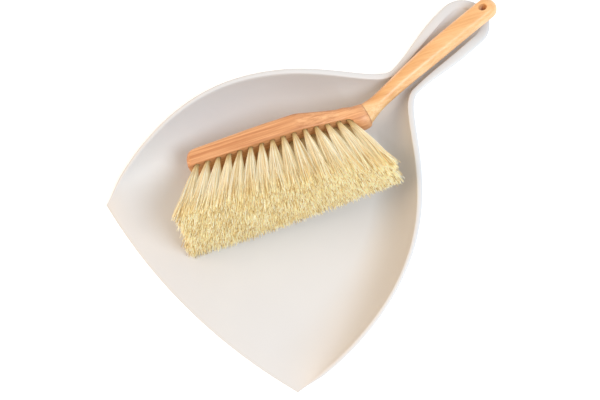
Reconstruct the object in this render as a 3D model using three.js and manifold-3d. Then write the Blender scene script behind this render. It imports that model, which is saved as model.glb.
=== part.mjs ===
// Dust pan and hand brush. The brush lies on its side in the pan, its handle in the pan's hollow grip.
// Millimetres, +Z up. The pan's lip faces -Y and its grip points to +Y. The origin is on the floor,
// at the middle of the pan's flat underside.
import * as THREE from 'three';
import { mergeVertices } from 'three/addons/utils/BufferGeometryUtils.js';
import Module from 'manifold-3d';

const wasm = await Module();
wasm.setup();

// ---- clearances ----
const FIT_GAP = 0.3; // between two pieces that touch
const REST_GAP = 0.4; // between the brush and the pan it lies in

// ---- dustpan: plan, measured along Y from the lip's two corners ----
const ORIGIN_FROM_LIP = 130;
const LIP_WIDTH = 242;
const LIP_BOW = 15; // how far the middle of the lip stands in front of its corners
const BOW_FADE = 110; // distance in which the bow fades out of the cross rows
const SCOOP_WIDTH = 258; // inside the rim, at the shoulders
const SHOULDER_AT = 65;
const SHOULDER_BEFORE_NECK = 60; // the shoulder's curve holds its width up to here
const SCOOP_LENGTH = 265; // lip corners to the neck
const NECK_REACH = 34; // how far the neck's curve holds its width
const NECK_WIDTH = 21; // inside the rim
const GRIP_WIDTH = 31; // inside the rim, before the rounded end
const GRIP_LENGTH = 94; // neck to the inside of the rounded end

// ---- dustpan: heights and walls ----
const PAN_WALL = 2;
const LIP_EDGE = 1; // thickness of the lip's front edge
const LIP_TAPER = 14; // distance in which the lip reaches the full wall
const RIM_HEIGHT = 44;
const RIM_CLIMB = 160; // distance in which the rim climbs to its full height
const GRIP_FLOOR = 30; // top of the grip's trough floor above the ground
const GRIP_DEPTH = 5.5; // trough floor to rim
const GRIP_TIP_DEPTH = 1; // the same at the grip's open end
const RAMP_LENGTH = 80; // the floor's climb up to the grip
const WALL_BREADTH = 48; // plan breadth of the curve from floor to rim
const WALL_ANGLE = THREE.MathUtils.degToRad(72); // turn of the wall's arc
const TROUGH_FLAT = 3; // least half width of the flat floor strip

// ---- dustpan: turned-out rim ----
const RIM_TURN = 3.5; // breadth of the turned-out rim along the scoop
const NECK_TURN = 5.5;
const GRIP_TURN = 8.5;
const TURN_START = 0.8; // breadth at the lip's corners
const TURN_CROWN = 0.5; // how far the turned rim rises above the wall's top
const TURN_DROP = 0.8; // how far its outer edge hangs below the wall's top

// ---- brush: tufts, measured along X from the block's free end ----
const TUFTS_PER_SIDE_ROW = 15;
const TUFT_PITCH = 10.1;
const FIRST_TUFT_AT = 8;
const ROW_OFFSET = 13.5; // side rows from the middle row
const HOLE_EDGE_MARGIN = 4; // hole centre to the block's side where the block narrows
const TUFT_RADIUS = 2.5;
const HOLE_DEPTH = 10;
const BRISTLE_TRIM = 62; // face to trimmed tips, square to the face
const BRISTLE_CROWN = 2.5; // how much longer the middle row is
const FREE_END_SPLAY = THREE.MathUtils.degToRad(-23.5);
const HANDLE_END_SPLAY = THREE.MathUtils.degToRad(18);
const TIP_SPREAD_FREE_END = 35; // half breadth over the tips of all rows
const TIP_SPREAD_HANDLE_END = 19;
const TUFT_GAP = 0.4; // between neighbouring tufts at the tips

// ---- brush: block ----
const BLOCK_WIDTH = 37;
const BLOCK_END_HEIGHT = 17.5;
const BLOCK_HUMP_HEIGHT = 19.6;
const BLOCK_END_RADIUS = 5.5; // the free end's corners, seen from the back
const BACK_END_RADIUS = 10; // the back's turn down to the free end
const NECK_FROM_LAST_TUFT = 15.5; // last tuft to the seam
const HUMP_FROM_SEAM = 61;
const NECK_START_FROM_SEAM = 24;
const NECK_DIAMETER = 23.6;
const NECK_RISE = 2.4; // neck axis above the bristle face
const BACK_EDGE_RADIUS = 6.5;
const FACE_EDGE_RADIUS = 1.6;

// ---- brush: seam, dowel and handle ----
const SEAM_DIAMETER = 20.1;
const SEAM_RISE = 4.2; // seam centre above the bristle face
const SEAM_TILT = THREE.MathUtils.degToRad(14);
const DOWEL_DIAMETER = 8;
const DOWEL_IN_BLOCK = 16;
const DOWEL_IN_HANDLE = 10;
const HANDLE_LENGTH = 158;
const HANDLE_KNEE = 60; // length of the steeper part that leaves the block
const HANDLE_START_ANGLE = THREE.MathUtils.degToRad(31);
const HANDLE_END_ANGLE = THREE.MathUtils.degToRad(23.5);
const WAIST_RADIUS = 7.3;
const WAIST_AT = 18;
const HANDLE_RADIUS = 9.4;
const HANDLE_FULL_AT = 95;
const HANDLE_FLAT = 0.82; // breadth across the flattened end, as a share of its height
const HANDLE_SQUARENESS = 2.8; // superellipse exponent of the flattened end
const HANDLE_CAP = 10; // length of the rounded end
const HANGING_HOLE_DIAMETER = 7;
const HANGING_HOLE_FROM_END = 13;

// ---- how the brush lies in the pan ----
const FREE_END_FROM_CENTRE = 79.32; // block's free end from the pan's centre line
const BRUSH_PITCH = THREE.MathUtils.degToRad(6.5); // handle end up
const BRUSH_ROLL = THREE.MathUtils.degToRad(14); // tips up from lying flat on the side
const KNEE_SIDESTEP = -3.3; // handle knee from the pan's centre line
const KNEE_FROM_NECK = 12; // handle knee beyond the pan's neck

// ---- shared helpers ----

function smooth(value, from, to) {
  return THREE.MathUtils.smoothstep(value, from, to);
}

function mix(from, to, share) {
  return from + (to - from) * share;
}

function weld(geometry) {
  geometry.deleteAttribute('normal');
  geometry.deleteAttribute('uv');
  return mergeVertices(geometry, 1e-4);
}

function toSolid(geometry) {
  const welded = weld(geometry);
  return new wasm.Manifold(new wasm.Mesh({
    numProp: 3,
    vertProperties: new Float32Array(welded.attributes.position.array),
    triVerts: new Uint32Array(welded.index.array),
  }));
}

function toGeometry(solid) {
  const mesh = solid.getMesh();
  const geometry = new THREE.BufferGeometry();
  geometry.setAttribute('position', new THREE.BufferAttribute(mesh.vertProperties, 3));
  geometry.setIndex(new THREE.BufferAttribute(mesh.triVerts, 1));
  geometry.computeVertexNormals();
  return geometry;
}

function cutAway(geometry, tools) {
  let solid = toSolid(geometry);
  for (const tool of tools) {
    solid = solid.subtract(toSolid(tool));
  }
  return toGeometry(solid);
}

// A closed solid through rings of points. Every ring has the same number of points, counterclockwise
// when seen from the last ring.
function loft(rings) {
  const count = rings[0].length;
  const points = rings.flat();
  const faces = [];
  for (let r = 0; r + 1 < rings.length; r += 1) {
    for (let k = 0; k < count; k += 1) {
      const a = r * count + k;
      const b = r * count + ((k + 1) % count);
      faces.push(a, b, b + count, a, b + count, a + count);
    }
  }
  const last = (rings.length - 1) * count;
  for (const [start, facing] of [[0, -1], [last, 1]]) {
    const centre = new THREE.Vector3();
    for (let k = 0; k < count; k += 1) {
      centre.addScaledVector(points[start + k], 1 / count);
    }
    points.push(centre);
    for (let k = 0; k < count; k += 1) {
      const a = start + k;
      const b = start + ((k + 1) % count);
      faces.push(points.length - 1, ...(facing > 0 ? [a, b] : [b, a]));
    }
  }
  const geometry = new THREE.BufferGeometry().setFromPoints(points);
  geometry.setIndex(faces);
  geometry.computeVertexNormals();
  return geometry;
}

// A cylinder between two points.
function rod(start, end, radius, sides) {
  const along = end.clone().sub(start);
  const geometry = new THREE.CylinderGeometry(radius, radius, along.length(), sides);
  geometry.applyQuaternion(new THREE.Quaternion().setFromUnitVectors(
    new THREE.Vector3(0, 1, 0),
    along.clone().normalize(),
  ));
  const middle = start.clone().add(end).multiplyScalar(0.5);
  geometry.translate(middle.x, middle.y, middle.z);
  return geometry;
}

function piece(name, geometry, colour, roughness, metalness = 0) {
  const mesh = new THREE.Mesh(
    geometry,
    new THREE.MeshStandardMaterial({ color: colour, roughness, metalness }),
  );
  mesh.name = name;
  return mesh;
}

// ---- dustpan ----

const SCOOP_HALF = SCOOP_WIDTH / 2;
const NECK_HALF = NECK_WIDTH / 2;
const GRIP_HALF = GRIP_WIDTH / 2;
const GRIP_END = SCOOP_LENGTH + GRIP_LENGTH;

// The rim's inner edge on the +X side, from the lip's corner to the middle of the grip's end, as plan
// points (x, distance from the lip's corners) with the outward direction at each.
function rimStations() {
  const endRadius = GRIP_HALF;
  const shoulder = new THREE.CubicBezierCurve(
    new THREE.Vector2(LIP_WIDTH / 2, 0),
    new THREE.Vector2(mix(LIP_WIDTH / 2, SCOOP_HALF, 0.6), SHOULDER_AT * 0.4),
    new THREE.Vector2(SCOOP_HALF, SHOULDER_AT * 0.65),
    new THREE.Vector2(SCOOP_HALF, SHOULDER_AT),
  );
  const side = new THREE.CubicBezierCurve(
    new THREE.Vector2(SCOOP_HALF, SHOULDER_AT),
    new THREE.Vector2(SCOOP_HALF, SCOOP_LENGTH - SHOULDER_BEFORE_NECK),
    new THREE.Vector2(NECK_HALF, SCOOP_LENGTH - NECK_REACH),
    new THREE.Vector2(NECK_HALF, SCOOP_LENGTH),
  );
  const grip = new THREE.CubicBezierCurve(
    new THREE.Vector2(NECK_HALF, SCOOP_LENGTH),
    new THREE.Vector2(NECK_HALF, SCOOP_LENGTH + GRIP_LENGTH * 0.3),
    new THREE.Vector2(GRIP_HALF, GRIP_END - endRadius - GRIP_LENGTH * 0.3),
    new THREE.Vector2(GRIP_HALF, GRIP_END - endRadius),
  );
  const end = new THREE.EllipseCurve(0, GRIP_END - endRadius, GRIP_HALF, endRadius, 0, Math.PI / 2);
  const stations = [];
  for (const [curve, steps] of [[shoulder, 6], [side, 14], [grip, 6], [end, 5]]) {
    for (let k = stations.length ? 1 : 0; k <= steps; k += 1) {
      const point = curve.getPoint(k / steps);
      const tangent = curve.getTangent(k / steps);
      stations.push({ x: point.x, along: point.y, outward: new THREE.Vector2(tangent.y, -tangent.x) });
    }
  }
  const last = stations[stations.length - 1];
  last.x = 0;
  last.outward.set(0, 1);
  return stations;
}

function rampStart() {
  return SCOOP_LENGTH + 10 - RAMP_LENGTH;
}

function floorTop(along) {
  const wall = mix(LIP_EDGE, PAN_WALL, THREE.MathUtils.clamp(along / LIP_TAPER, 0, 1));
  return wall + (GRIP_FLOOR - PAN_WALL) * smooth(along, rampStart(), SCOOP_LENGTH + 10);
}

function rimTop(along) {
  const climb = Math.sin((Math.PI / 2) * Math.min(1, along / RIM_CLIMB));
  const scoop = mix(LIP_EDGE, RIM_HEIGHT, climb);
  const grip = mix(scoop, GRIP_FLOOR + GRIP_DEPTH, smooth(along, rampStart(), SCOOP_LENGTH + 5));
  const opening = smooth(along, GRIP_END - GRIP_LENGTH * 0.35, GRIP_END);
  return Math.max(mix(grip, GRIP_FLOOR + GRIP_TIP_DEPTH, opening), floorTop(along));
}

function turnBreadth(along) {
  const scoop = mix(TURN_START, RIM_TURN, smooth(along, 0, 30));
  const neck = mix(scoop, NECK_TURN, smooth(along, SCOOP_LENGTH * 0.4, SCOOP_LENGTH));
  return mix(neck, GRIP_TURN, smooth(along, SCOOP_LENGTH, SCOOP_LENGTH + GRIP_LENGTH * 0.6));
}

// One half cross row of the pan's upper surface, from the middle out to the edge of the turned rim.
function halfRow(station) {
  const floor = floorTop(station.along);
  const rim = rimTop(station.along);
  const flat = Math.max(station.x - WALL_BREADTH, Math.min(TROUGH_FLAT, station.x * 0.3));
  const bow = LIP_BOW * (1 - smooth(station.along, 0, BOW_FADE));
  const row = [];
  const flatSteps = 4;
  const wallSteps = 8;
  for (let k = 0; k <= flatSteps; k += 1) {
    row.push(new THREE.Vector3((flat * k) / flatSteps, station.along, floor));
  }
  for (let k = 1; k <= wallSteps; k += 1) {
    const angle = (WALL_ANGLE * k) / wallSteps;
    const out = Math.sin(angle) / Math.sin(WALL_ANGLE);
    const up = (1 - Math.cos(angle)) / (1 - Math.cos(WALL_ANGLE));
    row.push(new THREE.Vector3(mix(flat, station.x, out), station.along, mix(floor, rim, up)));
  }
  for (const point of row) {
    const share = station.x > 0 ? point.x / station.x : 0;
    point.y -= bow * (1 - share * share);
  }
  const breadth = turnBreadth(station.along);
  const grown = smooth(station.along, 0, 30);
  for (const [share, rise] of [[0.3, TURN_CROWN], [0.75, TURN_CROWN * 0.9], [1, -TURN_DROP]]) {
    row.push(new THREE.Vector3(
      station.x + station.outward.x * breadth * share,
      station.along + station.outward.y * breadth * share,
      rim + rise * grown,
    ));
  }
  return row;
}

function dustpanGeometry() {
  const rows = rimStations().map((station) => {
    const right = halfRow(station);
    const left = right.slice(1).map((point) => new THREE.Vector3(-point.x, point.y, point.z));
    return [...left.reverse(), ...right];
  });
  const columns = rows[0].length;
  const surface = new THREE.BufferGeometry().setFromPoints(rows.flat());
  const faces = [];
  for (let r = 0; r + 1 < rows.length; r += 1) {
    for (let c = 0; c + 1 < columns; c += 1) {
      const a = r * columns + c;
      faces.push(a, a + 1, a + 1 + columns, a, a + 1 + columns, a + columns);
    }
  }
  surface.setIndex(faces);
  const upper = mergeVertices(surface, 1e-4);
  upper.computeVertexNormals();
  const top = upper.attributes.position;
  const normal = upper.attributes.normal;
  const points = [];
  for (let k = 0; k < top.count; k += 1) {
    points.push(new THREE.Vector3().fromBufferAttribute(top, k));
  }
  // the underside: the upper surface moved in by the wall, and flat on the ground under the scoop
  for (let k = 0; k < top.count; k += 1) {
    const point = points[k].clone();
    const wall = mix(LIP_EDGE, PAN_WALL, THREE.MathUtils.clamp(point.y / LIP_TAPER, 0, 1));
    const onFloor = point.z <= wall + 1e-6;
    if (onFloor) {
      point.z = 0;
    } else {
      point.addScaledVector(new THREE.Vector3().fromBufferAttribute(normal, k), -wall);
      point.z = Math.max(point.z, 0);
    }
    points.push(point);
  }
  const skin = upper.index.array;
  const shell = [];
  const edges = new Map();
  for (let f = 0; f < skin.length; f += 3) {
    const [a, b, c] = [skin[f], skin[f + 1], skin[f + 2]];
    if (a === b || b === c || c === a) continue;
    shell.push(a, b, c, a + top.count, c + top.count, b + top.count);
    for (const [from, to] of [[a, b], [b, c], [c, a]]) {
      edges.set(`${from},${to}`, [from, to]);
    }
  }
  for (const [from, to] of edges.values()) {
    if (edges.has(`${to},${from}`)) continue;
    shell.push(to, from, from + top.count, to, from + top.count, to + top.count);
  }
  const geometry = new THREE.BufferGeometry().setFromPoints(points);
  geometry.setIndex(shell);
  geometry.translate(0, -ORIGIN_FROM_LIP, 0);
  return toGeometry(toSolid(geometry));
}

// ---- brush block: x from the free end to the seam, z up out of the back, bristle face at z = 0 ----

const LAST_TUFT_AT = FIRST_TUFT_AT + (TUFTS_PER_SIDE_ROW - 1) * TUFT_PITCH;
const SEAM_AT = LAST_TUFT_AT + NECK_FROM_LAST_TUFT;
const HUMP_AT = SEAM_AT - HUMP_FROM_SEAM;
const NECK_AT = SEAM_AT - NECK_START_FROM_SEAM;
const NECK_RADIUS = NECK_DIAMETER / 2;
const SEAM_RADIUS = SEAM_DIAMETER / 2;
const SEAM_ROUNDING = 8; // length in which the neck rounds down to the seam

function taperShare(x) {
  return THREE.MathUtils.clamp((x - HUMP_AT) / (NECK_AT - HUMP_AT), 0, 1);
}

function seamShare(x) {
  const into = THREE.MathUtils.clamp((x - (SEAM_AT - SEAM_ROUNDING)) / SEAM_ROUNDING, 0, 1);
  return 1 - Math.sqrt(1 - into * into);
}

function blockHalfWidth(x) {
  const body = mix(BLOCK_WIDTH / 2, NECK_RADIUS, taperShare(x));
  const intoEnd = Math.max(0, BLOCK_END_RADIUS - x);
  const end = BLOCK_END_RADIUS - Math.sqrt(BLOCK_END_RADIUS ** 2 - intoEnd ** 2);
  return mix(body, SEAM_RADIUS, seamShare(x)) - end;
}

function blockTop(x) {
  const back = mix(BLOCK_END_HEIGHT, BLOCK_HUMP_HEIGHT, smooth(x, 0, HUMP_AT * 0.75));
  const body = mix(back, NECK_RISE + NECK_RADIUS, taperShare(x));
  const intoEnd = Math.max(0, BACK_END_RADIUS - x);
  const end = BACK_END_RADIUS - Math.sqrt(BACK_END_RADIUS ** 2 - intoEnd ** 2);
  return mix(body, SEAM_RISE + SEAM_RADIUS, seamShare(x)) - end;
}

function blockFace(x) {
  const neck = smooth(x, NECK_AT + 4, SEAM_AT - SEAM_ROUNDING) * (NECK_RISE - NECK_RADIUS);
  const intoEnd = Math.max(0, FACE_EDGE_RADIUS - x);
  const end = FACE_EDGE_RADIUS - Math.sqrt(FACE_EDGE_RADIUS ** 2 - intoEnd ** 2);
  return mix(neck, SEAM_RISE - SEAM_RADIUS, seamShare(x)) + end;
}

// A rounded rectangle in the plane across the block, which becomes a circle at the neck.
function blockRing(x) {
  const halfWidth = blockHalfWidth(x);
  const top = blockTop(x);
  const face = blockFace(x);
  const full = Math.min(halfWidth, (top - face) / 2);
  const backRadius = mix(BACK_EDGE_RADIUS, full, smooth(x, HUMP_AT, SEAM_AT - SEAM_ROUNDING));
  const faceRadius = mix(FACE_EDGE_RADIUS, full, smooth(x, NECK_AT, SEAM_AT - SEAM_ROUNDING));
  const lean = Math.tan(SEAM_TILT) * smooth(x, NECK_AT, SEAM_AT);
  const middle = (top + face) / 2;
  const ring = [];
  const cornerSteps = 5;
  const corners = [
    [1, -1, faceRadius, -90],
    [1, 1, backRadius, 0],
    [-1, 1, backRadius, 90],
    [-1, -1, faceRadius, 180],
  ];
  for (const [sideY, sideZ, wanted, startAngle] of corners) {
    const radius = Math.min(wanted, full);
    const centreY = sideY * (halfWidth - radius);
    const centreZ = sideZ > 0 ? top - radius : face + radius;
    for (let k = 0; k <= cornerSteps; k += 1) {
      const angle = THREE.MathUtils.degToRad(startAngle + (90 * k) / cornerSteps);
      const y = centreY + radius * Math.cos(angle);
      const z = centreZ + radius * Math.sin(angle);
      ring.push(new THREE.Vector3(x - lean * (z - middle), y, z));
    }
  }
  return ring;
}

function blockStations() {
  const stations = [0, 0.04, 0.1, 0.2, 0.35, 0.55, 0.8, 1].map((share) => share * BACK_END_RADIUS);
  for (let k = 1; k <= 4; k += 1) {
    stations.push(mix(BACK_END_RADIUS, HUMP_AT, k / 4));
  }
  for (let k = 1; k <= 4; k += 1) {
    stations.push(mix(HUMP_AT, NECK_AT, k / 4));
  }
  const roundingStart = SEAM_AT - SEAM_ROUNDING;
  for (let k = 1; k <= 6; k += 1) {
    stations.push(mix(NECK_AT, roundingStart, k / 6));
  }
  for (const share of [0.3, 0.55, 0.75, 0.9, 1]) {
    stations.push(mix(roundingStart, SEAM_AT, share));
  }
  return stations;
}

const SEAM_CENTRE = new THREE.Vector3(SEAM_AT, 0, SEAM_RISE);
const SEAM_NORMAL = new THREE.Vector3(Math.cos(SEAM_TILT), 0, Math.sin(SEAM_TILT));
const DOWEL_SIDES = 16;

function dowelGeometry() {
  const start = SEAM_CENTRE.clone().addScaledVector(SEAM_NORMAL, -DOWEL_IN_BLOCK);
  const end = SEAM_CENTRE.clone().addScaledVector(SEAM_NORMAL, DOWEL_IN_HANDLE + FIT_GAP);
  return rod(start, end, DOWEL_DIAMETER / 2, DOWEL_SIDES);
}

function dowelHole() {
  const start = SEAM_CENTRE.clone().addScaledVector(SEAM_NORMAL, -DOWEL_IN_BLOCK - FIT_GAP);
  const end = SEAM_CENTRE.clone().addScaledVector(SEAM_NORMAL, DOWEL_IN_HANDLE + 2 * FIT_GAP);
  return rod(start, end, DOWEL_DIAMETER / 2 + FIT_GAP, DOWEL_SIDES);
}

// ---- tufts ----

// Where a tuft leaves the face, where its trimmed tip is, and the half sizes of that tip. The place
// counts tufts along the side rows, so the middle row has half places. The side is -1, 0 or 1.
function tuftPlan(place, side) {
  const share = place / (TUFTS_PER_SIDE_ROW - 1);
  const x = FIRST_TUFT_AT + place * TUFT_PITCH;
  const offset = Math.min(ROW_OFFSET, blockHalfWidth(x) - HOLE_EDGE_MARGIN);
  const root = new THREE.Vector3(x, side * offset, blockFace(x));
  const narrowing = Math.max(0, (share - 0.2) / 0.8) ** 1.4;
  const spread = mix(TIP_SPREAD_FREE_END, TIP_SPREAD_HANDLE_END, narrowing);
  const firstTip = FIRST_TUFT_AT + BRISTLE_TRIM * Math.tan(FREE_END_SPLAY);
  const lastTip = LAST_TUFT_AT + BRISTLE_TRIM * Math.tan(HANDLE_END_SPLAY);
  const tipPitch = (lastTip - firstTip) / (TUFTS_PER_SIDE_ROW - 1);
  const length = side === 0 ? BRISTLE_TRIM + BRISTLE_CROWN : BRISTLE_TRIM;
  const tip = new THREE.Vector3(firstTip + place * tipPitch, (side * spread * 2) / 3, -length);
  return {
    root,
    tip,
    direction: tip.clone().sub(root).normalize(),
    halfX: (tipPitch - TUFT_GAP) / 2,
    halfY: spread / 3 - TUFT_GAP / 2,
  };
}

function tuftPlans() {
  const plans = [];
  for (const [row, side] of [['upper', -1], ['middle', 0], ['lower', 1]]) {
    const shift = side === 0 ? 0.5 : 0;
    const count = TUFTS_PER_SIDE_ROW - (side === 0 ? 1 : 0);
    for (let k = 0; k < count; k += 1) {
      const name = `tuft_${row}_${String(k + 1).padStart(2, '0')}`;
      plans.push({ name, ...tuftPlan(k + shift, side) });
    }
  }
  return plans;
}

// A ring of the given outline (x, y) about a point, square to the tuft's direction.
function tuftRing(centre, direction, outline) {
  const across = new THREE.Vector3(-direction.z, 0, direction.x).normalize();
  const aside = across.clone().cross(direction);
  return outline.map(([x, y]) => centre.clone().addScaledVector(across, x).addScaledVector(aside, y));
}

// Round in its hole, then flaring to a tip that fills its share of the trimmed end.
function tuftGeometry(plan) {
  const inHole = plan.root.clone().addScaledVector(plan.direction, FIT_GAP - HOLE_DEPTH);
  const leaving = plan.root.clone().addScaledVector(plan.direction, 0.5);
  const corner = 0.62;
  const half = [[1, corner], [corner, 1], [-corner, 1], [-1, corner]];
  const outline = [...half, ...half.map(([x, y]) => [-x, -y])];
  const round = outline.map(([x, y]) => [
    (TUFT_RADIUS * x) / Math.hypot(x, y),
    (TUFT_RADIUS * y) / Math.hypot(x, y),
  ]);
  const tip = outline.map(([x, y]) => new THREE.Vector3(
    plan.tip.x + x * plan.halfX,
    plan.tip.y + y * plan.halfY,
    plan.tip.z,
  ));
  const rings = [tuftRing(inHole, plan.direction, round), tuftRing(leaving, plan.direction, round), tip];
  return loft(rings.map((ring) => ring.reverse()));
}

function tuftHole(plan) {
  const start = plan.root.clone().addScaledVector(plan.direction, -HOLE_DEPTH);
  const end = plan.root.clone().addScaledVector(plan.direction, HOLE_DEPTH);
  return rod(start, end, (TUFT_RADIUS + FIT_GAP) * 1.08, 8);
}

function blockGeometry(plans) {
  const body = loft(blockStations().map(blockRing));
  return cutAway(body, [...plans.map(tuftHole), dowelHole()]);
}

// ---- handle ----

const HANDLE_START = SEAM_CENTRE.clone().addScaledVector(SEAM_NORMAL, FIT_GAP);

function slope(angle) {
  return new THREE.Vector3(Math.cos(angle), 0, Math.sin(angle));
}

const HANDLE_KNEE_POINT = HANDLE_START.clone().addScaledVector(slope(HANDLE_START_ANGLE), HANDLE_KNEE);
const HANDLE_END = HANDLE_KNEE_POINT.clone().addScaledVector(
  slope(HANDLE_END_ANGLE),
  HANDLE_LENGTH - HANDLE_KNEE,
);
const HANDLE_AXIS = new THREE.QuadraticBezierCurve3(HANDLE_START, HANDLE_KNEE_POINT, HANDLE_END);

function handleRadius(distance) {
  const flare = mix(SEAM_RADIUS, WAIST_RADIUS, Math.sin((Math.PI / 2) * Math.min(1, distance / WAIST_AT)));
  return flare + (HANDLE_RADIUS - WAIST_RADIUS) * smooth(distance, WAIST_AT, HANDLE_FULL_AT);
}

function handleRing(distance, total) {
  const share = distance / total;
  const centre = HANDLE_AXIS.getPointAt(share);
  const tangent = HANDLE_AXIS.getTangentAt(share);
  const angle = mix(SEAM_TILT, Math.atan2(tangent.z, tangent.x), smooth(distance, 0, WAIST_AT));
  const intoCap = Math.max(0, distance - (total - HANDLE_CAP)) / HANDLE_CAP;
  const cap = Math.sqrt(1 - intoCap ** 2.4);
  const flattening = smooth(distance, WAIST_AT, total - HANDLE_CAP);
  const tall = handleRadius(distance) * cap;
  const broad = tall * mix(1, HANDLE_FLAT, flattening);
  const power = 2 / mix(2, HANDLE_SQUARENESS, flattening);
  const across = new THREE.Vector3(-Math.sin(angle), 0, Math.cos(angle));
  const ring = [];
  const sides = 24;
  for (let k = 0; k < sides; k += 1) {
    const turn = (2 * Math.PI * k) / sides;
    const up = Math.sign(Math.sin(turn)) * Math.abs(Math.sin(turn)) ** power * tall;
    const point = centre.clone().addScaledVector(across, up);
    point.y += Math.sign(Math.cos(turn)) * Math.abs(Math.cos(turn)) ** power * broad;
    ring.push(point);
  }
  return ring;
}

function handleGeometry() {
  const total = HANDLE_AXIS.getLength();
  const capStart = total - HANDLE_CAP;
  const distances = [0, 3, 6.5, 10.5, 14.5, WAIST_AT];
  for (let k = 1; k <= 10; k += 1) {
    distances.push(mix(WAIST_AT, capStart, k / 10));
  }
  for (const share of [0.35, 0.6, 0.8, 0.92, 0.98]) {
    distances.push(mix(capStart, total, share));
  }
  const body = loft(distances.map((distance) => handleRing(distance, total)));
  const holeCentre = HANDLE_AXIS.getPointAt(1 - HANGING_HOLE_FROM_END / total);
  const reach = new THREE.Vector3(0, 2 * HANDLE_RADIUS, 0);
  const hangingHole = rod(
    holeCentre.clone().sub(reach),
    holeCentre.clone().add(reach),
    HANGING_HOLE_DIAMETER / 2,
    20,
  );
  return cutAway(body, [dowelHole(), hangingHole]);
}

// ---- assembly ----

const WHITE = 0xeceae8;
const BLOCK_WOOD = 0xd79a70;
const HANDLE_WOOD = 0xeebc85;
const DOWEL_WOOD = 0xdcb98c;
const BRISTLE = 0xe8d9a2;

function brushGroup() {
  const plans = tuftPlans();
  const brush = new THREE.Group();
  brush.add(piece('brush_block', blockGeometry(plans), BLOCK_WOOD, 0.5));
  brush.add(piece('brush_handle', handleGeometry(), HANDLE_WOOD, 0.4));
  brush.add(piece('handle_dowel', dowelGeometry(), DOWEL_WOOD, 0.7));
  for (const plan of plans) {
    brush.add(piece(plan.name, tuftGeometry(plan), BRISTLE, 0.8));
  }
  return brush;
}

// The brush lies on its side, turned so that its free end keeps its place across the pan. The
// handle's knee is over the grip's trough, one handle radius above its floor, or higher where the
// block's lower side or the lower tips would otherwise touch the scoop's floor.
function layInPan(brush) {
  const roll = -Math.PI / 2 - BRUSH_ROLL;
  const level = HANDLE_KNEE_POINT.clone().applyEuler(new THREE.Euler(roll, -BRUSH_PITCH, 0, 'ZYX'));
  const reach = Math.hypot(level.x, level.y);
  const across = FREE_END_FROM_CENTRE + KNEE_SIDESTEP;
  const heading = Math.acos(across / reach) - Math.atan2(level.y, level.x);
  brush.rotation.set(roll, -BRUSH_PITCH, heading, 'ZYX');
  const kneeInBrush = HANDLE_KNEE_POINT.clone().applyEuler(brush.rotation);
  const firstTuft = tuftPlan(0, 1);
  const lowPoints = [
    new THREE.Vector3(0, BLOCK_WIDTH / 2, BLOCK_END_HEIGHT - BACK_EDGE_RADIUS),
    firstTuft.tip.clone().add(new THREE.Vector3(-firstTuft.halfX, firstTuft.halfY * 0.62, 0)),
    firstTuft.tip.clone().add(new THREE.Vector3(-firstTuft.halfX * 0.62, firstTuft.halfY, 0)),
  ];
  const heights = lowPoints.map((point) => point.applyEuler(brush.rotation).z);
  const overTrough = GRIP_FLOOR + HANDLE_RADIUS + REST_GAP;
  const overScoop = PAN_WALL + REST_GAP + kneeInBrush.z - Math.min(...heights);
  const kneeInPan = new THREE.Vector3(
    KNEE_SIDESTEP,
    SCOOP_LENGTH + KNEE_FROM_NECK - ORIGIN_FROM_LIP,
    Math.max(overTrough, overScoop),
  );
  brush.position.copy(kneeInPan).sub(kneeInBrush);
}

const dustpanAndBrush = new THREE.Group();
dustpanAndBrush.add(piece('dustpan_shell', dustpanGeometry(), WHITE, 0.4));
const brush = brushGroup();
layInPan(brush);
dustpanAndBrush.add(brush);

export default dustpanAndBrush;
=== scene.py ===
"""Looks of the dust pan and hand brush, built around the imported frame. Shapes are worked out in
millimetres with the same sizes as the solid parts, and each mesh is written in metres."""

import math

import bpy
import numpy as np
from mathutils import Matrix, Vector
from mathutils.bvhtree import BVHTree


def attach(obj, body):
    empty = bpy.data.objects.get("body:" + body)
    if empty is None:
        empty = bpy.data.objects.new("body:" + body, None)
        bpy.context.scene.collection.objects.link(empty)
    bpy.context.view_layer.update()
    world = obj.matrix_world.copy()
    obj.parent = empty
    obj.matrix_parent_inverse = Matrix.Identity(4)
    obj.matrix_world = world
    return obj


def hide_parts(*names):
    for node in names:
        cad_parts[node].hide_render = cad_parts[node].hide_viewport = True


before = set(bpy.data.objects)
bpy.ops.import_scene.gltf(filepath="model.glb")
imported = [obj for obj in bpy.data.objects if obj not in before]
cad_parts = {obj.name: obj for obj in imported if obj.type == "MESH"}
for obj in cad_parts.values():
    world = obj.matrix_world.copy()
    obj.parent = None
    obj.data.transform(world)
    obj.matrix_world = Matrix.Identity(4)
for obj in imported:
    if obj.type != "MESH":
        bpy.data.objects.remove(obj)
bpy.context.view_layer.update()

MM = 0.001
SEED = 20260731

# ---- dustpan sizes ----
ORIGIN_FROM_LIP = 130.0
LIP_WIDTH = 242.0
LIP_BOW = 15.0
BOW_FADE = 110.0
SCOOP_WIDTH = 258.0
SHOULDER_AT = 65.0
SHOULDER_REACH = 140.0
SCOOP_LENGTH = 265.0
NECK_REACH = 34.0
NECK_WIDTH = 21.0
GRIP_WIDTH = 31.0
GRIP_LENGTH = 94.0
GRIP_END = SCOOP_LENGTH + GRIP_LENGTH
PAN_WALL = 2.0
LIP_EDGE = 1.0
LIP_TAPER = 14.0
RIM_HEIGHT = 44.0
RIM_CLIMB = 160.0
GRIP_FLOOR = 30.0
GRIP_DEPTH = 5.5
GRIP_TIP_DEPTH = 1.0
RAMP_LENGTH = 80.0
WALL_BREADTH = 48.0
WALL_ANGLE = math.radians(72)
TROUGH_FLAT = 3.0
RIM_TURN = 3.5
NECK_TURN = 5.5
GRIP_TURN = 8.5
TURN_START = 0.8
TURN_CROWN = 0.5

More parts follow.
